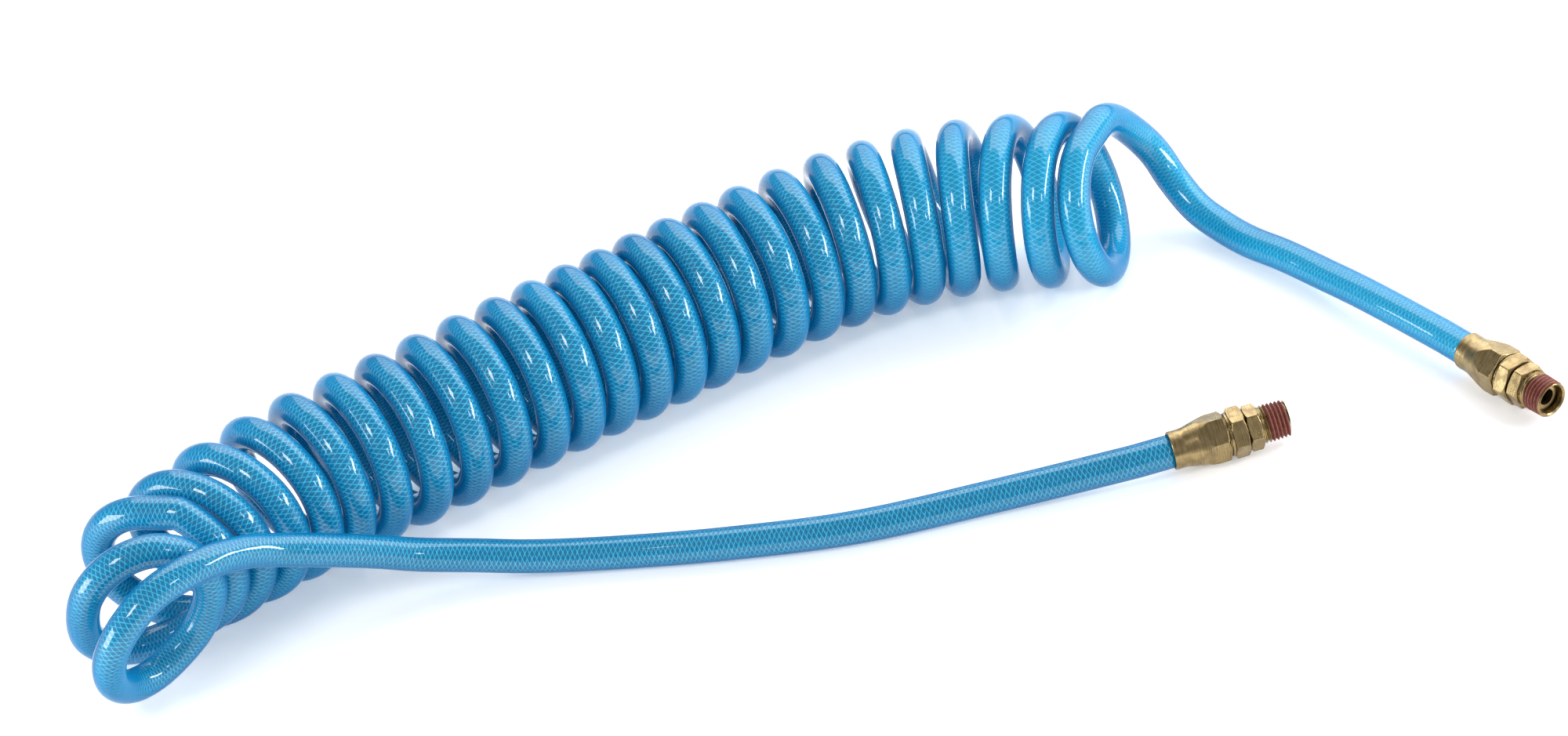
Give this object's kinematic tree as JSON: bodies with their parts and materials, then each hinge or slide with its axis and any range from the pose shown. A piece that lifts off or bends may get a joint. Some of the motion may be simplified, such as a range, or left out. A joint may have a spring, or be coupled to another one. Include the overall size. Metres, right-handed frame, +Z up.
{
  "type": "coiled air hose",
  "caption": "Coiled polyurethane air hose with a loose tail at each end and a brass male thread swivel fitting on each tail",
  "frame": {"origin": "on the plane the hose lies on, under the middle of the whole object's box", "axes": "+X along the coil from its inlet end to its outlet end, +Y from the inlet tail's side to the coil's side, +Z up"},
  "size_m": [0.5219, 0.196, 0.066],
  "materials": {
    "hose": "clear glossy blue polyurethane with a fine braid in the wall",
    "brass": "satin machined brass with brighter edges",
    "seal_rubber": "matt black rubber",
    "thread_sealant": "matt red-brown baked-on sealant"
  },
  "bodies": {
    "root": {"hose_coil": "hose", "inlet_tail": "hose", "inlet_hose_end": "hose", "inlet_clamp_nut": "brass", "inlet_clamp_collet": "brass", "inlet_barbed_stem": "brass"},
    "inlet_swivel": {"inlet_swivel_body": "brass", "inlet_swivel_seal": "seal_rubber", "inlet_thread_sealant": "thread_sealant"},
    "outlet_end": {"outlet_tail": "hose", "outlet_hose_end": "hose", "outlet_clamp_nut": "brass", "outlet_clamp_collet": "brass", "outlet_barbed_stem": "brass"},
    "outlet_swivel": {"outlet_swivel_body": "brass", "outlet_swivel_seal": "seal_rubber", "outlet_thread_sealant": "thread_sealant"}
  },
  "joints": [
    {"name": "coil_stretch", "type": "slide", "parent": "root", "child": "outlet_end", "axis": [1, 0, 0], "range_m": [0, 1], "stiffness_N_per_m": 12, "deforming": ["hose_coil"]},
    {"name": "inlet_swivel_turn", "type": "hinge", "parent": "root", "child": "inlet_swivel", "pos_m": [0.15702, -0.06513, 0.0091], "axis": [0.9945, 0.1045, 0], "continuous": true},
    {"name": "outlet_swivel_turn", "type": "hinge", "parent": "outlet_end", "child": "outlet_swivel", "pos_m": [0.25108, -0.0771, 0.0091], "axis": [0.515, -0.8572, 0], "continuous": true}
  ]
}
